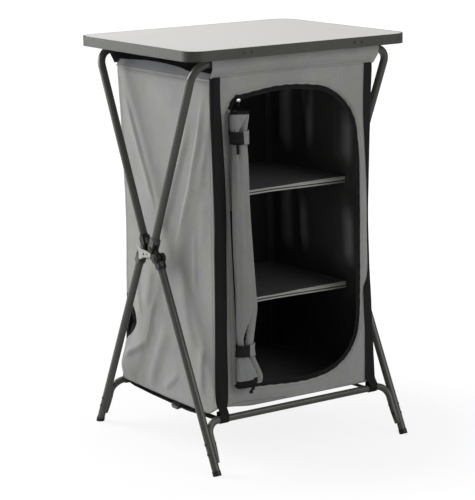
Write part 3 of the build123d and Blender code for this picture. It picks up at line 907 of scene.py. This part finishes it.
# Corner straps: height, and the strap's edges, measured from the face's middle outwards
strap_edges_left = [
    (0.1420, 0.2085, 0.2310),
    (0.1560, 0.2052, 0.2340),
    (0.1700, 0.2041, 0.2348),
    (0.2100, 0.2028, 0.2340),
    (0.3080, 0.2014, 0.2305),
    (0.4040, 0.1983, 0.2273),
    (0.5000, 0.1962, 0.2250),
    (0.5960, 0.1941, 0.2231),
    (0.6910, 0.1964, 0.2255),
    (0.7860, 0.2014, 0.2285),
    (0.8800, 0.2082, 0.2325),
    (0.9320, 0.2088, 0.2332),
]
strap_edges_rear = [
    (0.1420, 0.2030, 0.2250),
    (0.1700, 0.1960, 0.2185),
    (0.3000, 0.1935, 0.2150),
    (0.5300, 0.1915, 0.2125),
    (0.7500, 0.1930, 0.2145),
    (0.9320, 0.1950, 0.2165),
]
strap_edges_right = [
    (0.1420, 0.2025, 0.2360),
    (0.2520, 0.2060, 0.2340),
    (0.3330, 0.2045, 0.2330),
    (0.3750, 0.2045, 0.2340),
    (0.4000, 0.2150, 0.2420),
    (0.4500, 0.2195, 0.2500),
    (0.6000, 0.2185, 0.2500),
    (0.7000, 0.2135, 0.2410),
    (0.8200, 0.2052, 0.2310),
    (0.9320, 0.2050, 0.2300),
]


def corner_strap(word, face, side, edges):
    """Webbing down a corner of the cloth, looped round a crossbar and sewn to itself behind."""
    front = face == "front"
    turn = -1.0 if front else 1.0
    reach = crossbar_radius + 0.0012
    loop = []
    for angle in spread(0, pi, 15):
        loop.append((crossbar_y + reach * cos(angle), crossbar_z - reach * sin(angle)))
    loop = [(crossbar_y + reach, 0.128), (crossbar_y + reach, 0.121)] + loop
    loop += [(crossbar_y - reach, crossbar_z + d) for d in (0.004, 0.009, 0.014, 0.0175)]
    heights = spread(0.9320, 0.1420, 110)
    rows = len(heights) + len(loop)

    def place(a, k):
        if k < len(heights):
            z = heights[k]
            near, far = along(edges, z)
            at = near + (far - near) * a
            lift = 0.0020 + 0.0005 * wobble(at, z, 0.05, 3.0 + side)
            lift += 0.0009 * ease(0.935, 0.920, z)
            return wall(face, side * at, z, lift), (at, z)
        y, z = loop[k - len(heights)]
        x = 0.2095 + 0.0225 * a
        return Vector((side * x, turn * y, z)), (x, -0.01 * (k - len(heights)))

    outside = (side > 0) == front
    mesh = grid_mesh(f"corner_webbing_{word}", spread(0, 1, 13), range(rows), place, flip=outside)
    piece = band(mesh, [webbing_black], [f"corner_strap_{word}"])
    lines = []
    for share in (0.08, 0.92):
        line = []
        for z in spread(0.925, 0.150, 150):
            near, far = along(edges, z)
            at = near + (far - near) * share
            line.append(wall(face, side * at, z, 0.0028))
        lines.append(line)
    stitches(f"corner_stitches_{word}", lines, tape_black)


def side_strap(word, side):
    """Webbing between the front and rear crossbars, its tail doubled back beside the ladder buckle."""

    def across(y):
        lean = radians(4 + 16 * bump(y, -0.070, 0.035))
        return Vector((side * cos(lean), 0, -sin(lean)))

    ends = crossbar_y - crossbar_radius - 0.0030
    # Place from front to rear, height and how far the webbing has turned flat
    rows = [
        (-ends - 0.0002, 0.1300, 0.0),
        (-ends + 0.0004, 0.1200, 0.0),
        (-ends + 0.0060, 0.1135, 0.5),
        (-0.1800, 0.1100, 1.0),
        (-0.0900, 0.1070, 1.0),
        (0.0000, 0.1062, 1.0),
        (0.0900, 0.1070, 1.0),
        (0.1800, 0.1100, 1.0),
        (ends - 0.0060, 0.1135, 0.5),
        (ends - 0.0004, 0.1200, 0.0),
        (ends + 0.0002, 0.1300, 0.0),
    ]
    spots = []
    for at in spread(0, len(rows) - 1, 120):
        k = min(int(at), len(rows) - 2)
        y, z, turn = [low + (high - low) * (at - k) for low, high in zip(rows[k], rows[k + 1])]
        direction = Vector((side, 0, 0)).lerp(across(y), turn).normalized()
        spots.append((Vector((side * 0.221, y, z)), direction, 0.020))
    mesh = strap_mesh(f"side_webbing_{word}", spots)
    piece = band(mesh, [webbing_black], [f"side_strap_{word}"])
    tail_spots = []
    upright = Vector((0.15 * side, 0, 1)).normalized()
    for y in spread(-0.047, -0.009, 20):
        bulge = 0.0025 * bump(y, -0.028, 0.014)
        tail_spots.append((Vector((side * (0.2318 + bulge), y, 0.1070)), upright, 0.011))
    tail = band(strap_mesh(f"side_webbing_tail_{word}", tail_spots), [webbing_black])


# Shelves and floor
def shelf(word, top, sags):
    """Board in a black sleeve, bound in grey along the upper and lower front edges.

    It sags at places across its width, each with its middle, width and depth.
    """
    thick = 0.0105
    front, rear = -0.120, 0.208
    half = 0.2215
    edge = 0.0022
    profile = [(y, 0.0) for y in [rear] + spread(rear - 0.01, front + edge, 40)]
    profile += [(front + edge - edge * sin(t), -edge + edge * cos(t)) for t in spread(0.2, pi / 2, 5)]
    groove = [(0.0016, -0.0030), (0.0022, -0.0045), (0.0022, -0.0062), (0.0014, -0.0074)]
    profile += [(front + y, z) for y, z in groove]
    piping = 0.0017
    for turn in spread(-0.9, 1.5, 7):
        profile.append((front + 0.0013 - piping * cos(turn), -0.0093 - piping * sin(turn)))
    profile += [(y, -thick) for y in spread(front + 0.006, rear, 24)]
    runs = run_lengths([Vector(point) for point in profile])

    def place(x, k):
        y, z = profile[k]
        sag = sum(depth * bump(x, middle, width) for middle, width, depth in sags)
        sag *= ease(rear, front + 0.05, y) * 0.8 + 0.2
        swell = 0.0008 * wobble(x, y, 0.07, top) if z == 0.0 else 0.0
        ripple = 0.0004 * wobble(x, 0, 0.02, 8.0) * ease(front + 0.02, front, y)
        plump = ease(-0.02, 0.21, x) * ease(rear, front, y)
        z = z + 0.0016 * plump if z > -0.0040 else z - 0.0034 * plump
        return Vector((x, y + ripple, top + z - sag + swell)), (x, runs[k])

    def paint(x, k):
        y, z = profile[k]
        bound = y < front + 0.0060 and not -0.0071 <= z <= -0.0031
        return 1 if bound else 0

    across = spread(-half, half, 90)
    mesh = grid_mesh(f"{word}_sleeve", across, range(len(profile)), place, flip=True, paint=paint)
    piece = add_piece(mesh, "cabinet", [sleeve_black, binding_grey], [word])


def cabinet_floor():
    """Floor cloth, turned up a little at its edges and raised at the corner below the roll."""

    def place(x, y):
        near = min(0.2330 - abs(x), 0.2190 - abs(y))
        z = 0.1376 + 0.0010 * wobble(x, y, 0.09, 5.0) + 0.0015 * exp(-near / 0.006)
        z += 0.0095 * ease(-0.05, -0.21, x) * ease(-0.12, -0.21, y)
        y = max(y, -0.2180 + tucked(x, z))
        return Vector((x, y, z)), (x, y)

    mesh = grid_mesh("floor_cloth", spread(-0.2318, 0.2318, 90), spread(-0.2180, 0.2180, 90), place)
    piece = cloth(mesh, [floor_black, cloth_grey], ["cabinet_floor"], floor_thickness)


# Rolled door: height, middle, half width, half depth
roll_rows = [
    (0.180, -0.1600, 0.0325, 0.0135),
    (0.192, -0.1578, 0.0362, 0.0150),
    (0.209, -0.1551, 0.0373, 0.0155),
    (0.229, -0.1570, 0.0328, 0.0150),
    (0.254, -0.1610, 0.0270, 0.0140),
    (0.278, -0.1612, 0.0225, 0.0132),
    (0.303, -0.1613, 0.0238, 0.0146),
    (0.325, -0.1610, 0.0267, 0.0156),
    (0.347, -0.1601, 0.0290, 0.0166),
    (0.380, -0.1578, 0.0312, 0.0182),
    (0.425, -0.1591, 0.0295, 0.0190),
    (0.522, -0.1633, 0.0276, 0.0190),
    (0.618, -0.1668, 0.0252, 0.0190),
    (0.701, -0.1676, 0.0240, 0.0190),
    (0.745, -0.1670, 0.0225, 0.0178),
    (0.766, -0.1663, 0.0213, 0.0160),
    (0.788, -0.1668, 0.0215, 0.0150),
    (0.805, -0.1695, 0.0230, 0.0158),
    (0.819, -0.1708, 0.0236, 0.0164),
    (0.837, -0.1682, 0.0260, 0.0157),
    (0.862, -0.1662, 0.0250, 0.0135),
]
roll_turns = 3.5
layer_pitch = 0.0042
roll_top = 0.852
roll_foot = 0.192
# Heights where the ties pinch the roll
pinches = (0.275, 0.7895)
# Folds down the roll: height, direction from the front, depth, width
roll_creases = [
    (0.182, 48.0, 0.0060, 0.14),
    (0.209, 46.0, 0.0080, 0.15),
    (0.229, 42.0, 0.0075, 0.15),
    (0.254, 30.0, 0.0068, 0.16),
    (0.280, -6.0, 0.0060, 0.20),
    (0.303, -16.0, 0.0110, 0.26),
    (0.325, -2.0, 0.0085, 0.22),
    (0.347, 10.0, 0.0050, 0.20),
    (0.385, 16.0, 0.0016, 0.20),
    (0.600, 4.0, 0.0010, 0.20),
    (0.720, -34.0, 0.0012, 0.20),
    (0.745, -34.0, 0.0036, 0.20),
    (0.768, -34.0, 0.0060, 0.20),
    (0.790, -20.0, 0.0050, 0.18),
    (0.806, 2.0, 0.0110, 0.19),
    (0.822, 24.0, 0.0110, 0.18),
    (0.838, 48.0, 0.0075, 0.16),
    (0.852, 58.0, 0.0030, 0.15),
]


def round_roll(turned, z, out):
    """Point on the roll's outline or this far out of it, turned round it from the layer behind."""
    middle, half_width, half_depth = along(roll_rows, z)
    direction = pi - turned
    across = max(half_width + out, 0.003)
    deep = max(half_depth + out, 0.002)
    y = -along(walls, z)[1] - half_depth - 0.0045
    return Vector((middle + across * sin(direction), y - deep * cos(direction), z))


def roll_point(turned, z):
    """Point of the rolled door: turned is the angle wound so far, from the layer behind inwards."""
    direction = pi - turned
    inwards = layer_pitch * turned / tau
    heading, depth, width = along(roll_creases, z)
    past = within_half_turn(direction - radians(heading))
    crease = depth * (bump(past, 0.0, width) - 0.3 * bump(past, 2.4 * width, 1.4 * width))
    layer = 1.0 if turned < tau else 0.4
    puff = 0.0005 * sin(5 * direction + 7 * z) + 0.0004 * sin(9 * direction - 16 * z + 1)
    from_tie = min(abs(z - pinch) for pinch in pinches)
    puff += 0.0005 * sin(17 * direction + 1.3) * bump(from_tie, 0.020, 0.018)
    return round_roll(turned, z, puff - inwards - crease * layer)


def door_roll():
    """Door cloth wound in from the hinge line behind the roll, its taped edges stepping inwards."""
    steps = spread(0, 1, 260)
    wound = roll_turns * tau
    runs = run_lengths([roll_point(share * wound, 0.52) for share in steps])
    whole = runs[-1]
    arc = 0.112
    foot_tape, top_tape, edge_tape = 0.017, 0.010, 0.975

    def ends(share):
        """Lower and upper edge of the door at a share of its width."""
        run = along(list(zip(steps, runs)), share)
        left = max(run - (whole - arc), 0.0)
        rise = arc - (max(arc**2 - left**2, 0.0)) ** 0.5
        skew = 0.004 * sin(share * wound + 0.6) + 0.006 * share
        return roll_foot + rise * 0.55 + skew, roll_top - rise * 0.55 - skew * 0.6

    rows = spread(0, 0.03, 8) + spread(0.04, 0.96, 120) + spread(0.97, 1, 8)

    def place(share, b):
        low, high = ends(share)
        z = low + (high - low) * b
        return roll_point(share * wound, z), (share * whole, z)

    def paint(share, b):
        low, high = ends(share)
        below, above = b * (high - low), (1 - b) * (high - low)
        direction = within_half_turn(pi - share * wound)
        heading, depth, width = along(roll_creases, low + below)
        off = abs(within_half_turn(direction - radians(heading)))
        # Painted shade: the middle of a deep crease is painted in black tape, for the shade in the fold
        if depth > 0.0055 and off < 0.75 * width * min(depth / 0.010, 1.0):
            return 1
        if share * wound < tau and radians(50) < direction < radians(110) and below < foot_tape:
            return 0
        return 1 if below < foot_tape or above < top_tape or share > edge_tape else 0

    mesh = grid_mesh("rolled_door", steps, rows, place, flip=True, paint=paint)
    layers = [door_grey, tape_black, lining_black, tape_black]
    piece = cloth(mesh, layers, ["door_roll"])

    def flap(a, b):
        low, high = ends(0.0)
        z = low + (high - low) * b
        hinge = wall("front", -0.1895, z, 0.0016)
        bow = Vector((0, -0.003 * sin(pi * a), 0))
        return hinge.lerp(roll_point(0.0, z), a) + bow, (a * 0.03, z)

    mesh = grid_mesh("door_hinge_cloth", spread(0, 1, 10), rows, flap)
    hinge = cloth(mesh, [cloth_grey, lining_black])


def hinge_tape():
    """Zip tape between the front cloth and the roll, black below grey_from and in the painted-shade grey
    cloth above it.
    """
    grey_from = 0.61
    rows = [
        (0.176, -0.1700, 0.0030),
        (0.300, -0.1725, 0.0044),
        (0.379, -0.1740, 0.0046),
        (0.480, -0.1770, 0.0042),
        (0.592, -0.1815, 0.0030),
        (0.688, -0.1860, 0.0030),
        (0.855, -0.1872, 0.0034),
    ]

    def place(a, z):
        middle, half = along(rows, z)
        x = middle + a * half
        return wall("front", x, z, 0.0062 + 0.0004 * wobble(x, z, 0.04, 3.0)), (x, z)

    def paint(a, z):
        # Above grey_from the tape takes the painted-shade copy of the grey cloth
        return 1 if z > grey_from else 0

    heights = spread(0.192, 0.855, 120)
    mesh = grid_mesh("door_hinge_tape", spread(-1, 1, 7), heights, place, paint=paint)
    layers = [tape_black, painted_shade_grey, tape_black, painted_shade_grey]
    piece = cloth(mesh, layers, thickness=tape_thickness)


def tie_ring(name, z, height, out, start, stop, columns, flip):
    """Band round the roll between two angles; its edges are squeezed unevenly."""

    def place(share, b):
        turned = start + (stop - start) * share
        level = z + height * (b - 0.5)
        squeeze = 0.0006 * sin(7 * turned) * (b - 0.5)
        return round_roll(turned, level, out + squeeze), (share * 0.13, level)

    return grid_mesh(name, spread(0, 1, columns), spread(0, 1, 7), place, flip=flip)


def tie_tail(word, z, heading, long, width):
    """Loose end of a tie hanging down the front of the roll."""
    angle = pi - radians(heading)
    spots = []
    for k, drop in enumerate(spread(0, long, 16)):
        out = 0.0030 + 0.002 * sin(k * 0.4)
        middle = round_roll(angle, z - drop, out)
        across = (middle - round_roll(angle + 0.05, z - drop, out)).normalized()
        spots.append((middle, across, width))
    return band(strap_mesh(f"tie_{word}_tail", spots), [tape_black], thickness=0.0010)


def door_tie(word, z, height, lit_band_from, tail_place):
    """Webbing tie round the roll with a tail below; its black left part and the grey band over its right
    part are painted shade and painted light, for the tie's shaded and lit sides.
    """
    mesh = tie_ring(f"tie_{word}", z, height, 0.0016, 0.0, tau, 90, True)
    piece = band(mesh, [webbing_black], [f"door_tie_{word}"], 0.0012)
    # The grey band over the right part is painted light on that side of the tie
    start, stop = radians(180 - lit_band_from), radians(60)
    mesh = tie_ring(f"tie_{word}_tab", z, height + 0.002, 0.0027, start, stop, 40, False)
    tab = band(mesh, [door_grey])
    tail = tie_tail(word, *tail_place)


def slider_dome():
    """Polished oval dome on the slider, where its pull is hinged."""
    front = min(vertex.co.y for vertex in nodes["zip_slider"].data.vertices)

    def place(turn, b):
        round_off = b * pi / 2
        x = -0.1595 + 0.0066 * cos(turn) * sin(round_off)
        z = 0.8742 + 0.0046 * sin(turn) * sin(round_off)
        return Vector((x, front + 0.0004 - 0.0024 * cos(round_off), z)), (x, z)

    turns = spread(0, tau, 25)[:-1]
    mesh = grid_mesh("slider_dome", turns, spread(0.02, 1, 9), place, closed=True)
    add_piece(mesh, "zip_slider", [bright_nickel])


front_panel()
side_panel("left", left_folds)
side_panel("right", right_folds)
back_panel()
slider_dome()
skirt("front", -1)
skirt("rear", 1)
door_zip()
corner_strap("front_left", "front", -1, strap_edges_left)
corner_strap("front_right", "front", 1, strap_edges_right)
corner_strap("rear_left", "back", -1, strap_edges_rear)
corner_strap("rear_right", "back", 1, strap_edges_rear)
side_strap("left", -1)
side_strap("right", 1)
shelf("shelf_upper", 0.638, [(-0.09, 0.07, 0.0025), (0.05, 0.08, 0.0010)])
shelf("shelf_lower", 0.3695, [(-0.16, 0.09, 0.0060), (0.02, 0.08, 0.0008)])
cabinet_floor()
door_roll()
hinge_tape()
door_tie("top", 0.7895, 0.030, 4, (0.777, -38, 0.024, 0.006))
door_tie("bottom", 0.279, 0.028, 8, (0.192, 4, 0.017, 0.010))


# Finishes of the rigid parts, by what their names hold; a later row goes over an earlier one
finishes = [
    ("_leg_ upper_rail crossbar", tube_paint),
    ("socket _foot_ clip_ hub_core", nylon_black),
    ("front_upper_socket rear_lower_socket", tube_paint),
    ("front_lower_socket", knob_black),
    ("tabletop_board", top_laminate),
    ("tabletop_edge_band", band_paint),
    ("rivets", plated_steel),
    ("hub_cover", plastic_pale),
    ("buckle", plastic_grey),
    ("zip_slider", black_nickel),
]
for words, finish in finishes:
    for name, node in nodes.items():
        if any(word in name for word in words.split()):
            node.data.materials.clear()
            node.data.materials.append(finish)


# Floor, backdrop and light
def studio():
    """White paper under the object and white all round; away from the object the paper glows evenly."""
    floor_mesh = bpy.data.meshes.new("studio_floor")
    corners = [(-12, -12, 0), (12, -12, 0), (12, 12, 0), (-12, 12, 0)]
    floor_mesh.from_pydata(corners, [], [(0, 1, 2, 3)])
    floor = bpy.data.objects.new("studio_floor", floor_mesh)
    bpy.context.scene.collection.objects.link(floor)
    paper = bpy.data.materials.new("white_paper")
    paper.use_nodes = True
    tree = paper.node_tree
    shader = tree.nodes["Principled BSDF"]
    shader.inputs["Base Color"].default_value = linear("#d2d2d2")
    shader.inputs["Roughness"].default_value = 0.9
    glow = add(tree, "Emission", {"Color": (1, 1, 1, 1), "Strength": 1.06})
    seen = add(tree, "LightPath", out="Is Camera Ray")
    place = add(tree, "TexCoord", out="Object")
    away = add(tree, "VectorMath", [place], "Value", operation="LENGTH")
    share = add(tree, "MapRange", (away, 0.5, 1.1, 0.80, 1.0))
    share = add(tree, "Math", (seen, share), operation="MULTIPLY")
    blend = add(tree, "MixShader", (share, shader.outputs[0], glow))
    tree.links.new(blend, tree.nodes["Material Output"].inputs["Surface"])
    floor_mesh.materials.append(paper)

    world = bpy.data.worlds.new("studio")
    world.use_nodes = True
    bpy.context.scene.world = world
    tree = world.node_tree
    seen = add(tree, "LightPath", out="Is Camera Ray")
    strength = add(tree, "MapRange", (seen, 0.0, 1.0, 0.33, 1.0))
    background = tree.nodes["Background"]
    background.inputs["Color"].default_value = (1, 1, 1, 1)
    tree.links.new(strength, background.inputs["Strength"])

    # Name, place, width, height and watts; all are aimed at the object's middle
    lamps = [
        ("left_softbox", (-1.8, 2.15, 1.7), 2.0, 1.8, 96.0),
        ("front_fill", (1.0, -2.6, 1.95), 2.2, 1.8, 35.0),
        ("top_softbox", (-0.2, 0.3, 3.2), 2.2, 2.2, 38.0),
    ]
    for name, place, wide, high, power in lamps:
        lamp = bpy.data.objects.new(name, bpy.data.lights.new(name, "AREA"))
        lamp.data.shape = "RECTANGLE"
        lamp.data.size = wide
        lamp.data.size_y = high
        lamp.data.energy = power
        lamp.location = place
        aim = Vector((0, 0, 0.5)) - Vector(place)
        lamp.rotation_euler = aim.to_track_quat("-Z", "Y").to_euler()
        bpy.context.scene.collection.objects.link(lamp)


# Camera, found by fitting the photograph
def aim_camera():
    azimuth, elevation, roll = radians(-33.01), radians(12.039), radians(-1.202)
    distance = 4.89
    target = Vector((-0.025, 0.0, 0.464))
    focal_pixels = 1963.2
    long_side_pixels = 500
    back = Vector((sin(azimuth) * cos(elevation), -cos(azimuth) * cos(elevation), sin(elevation)))
    camera = bpy.data.objects.new("camera", bpy.data.cameras.new("camera"))
    camera.data.sensor_width = 36.0
    camera.data.lens = focal_pixels / long_side_pixels * camera.data.sensor_width
    look = (-back).to_track_quat("-Z", "Y").to_matrix().to_4x4()
    camera.matrix_world = Matrix.Translation(target + back * distance) @ look @ Matrix.Rotation(roll, 4, "Z")
    camera.data.clip_end = 50.0
    bpy.context.scene.collection.objects.link(camera)
    bpy.context.scene.camera = camera


studio()
aim_camera()
bpy.context.scene.view_settings.view_transform = "Standard"
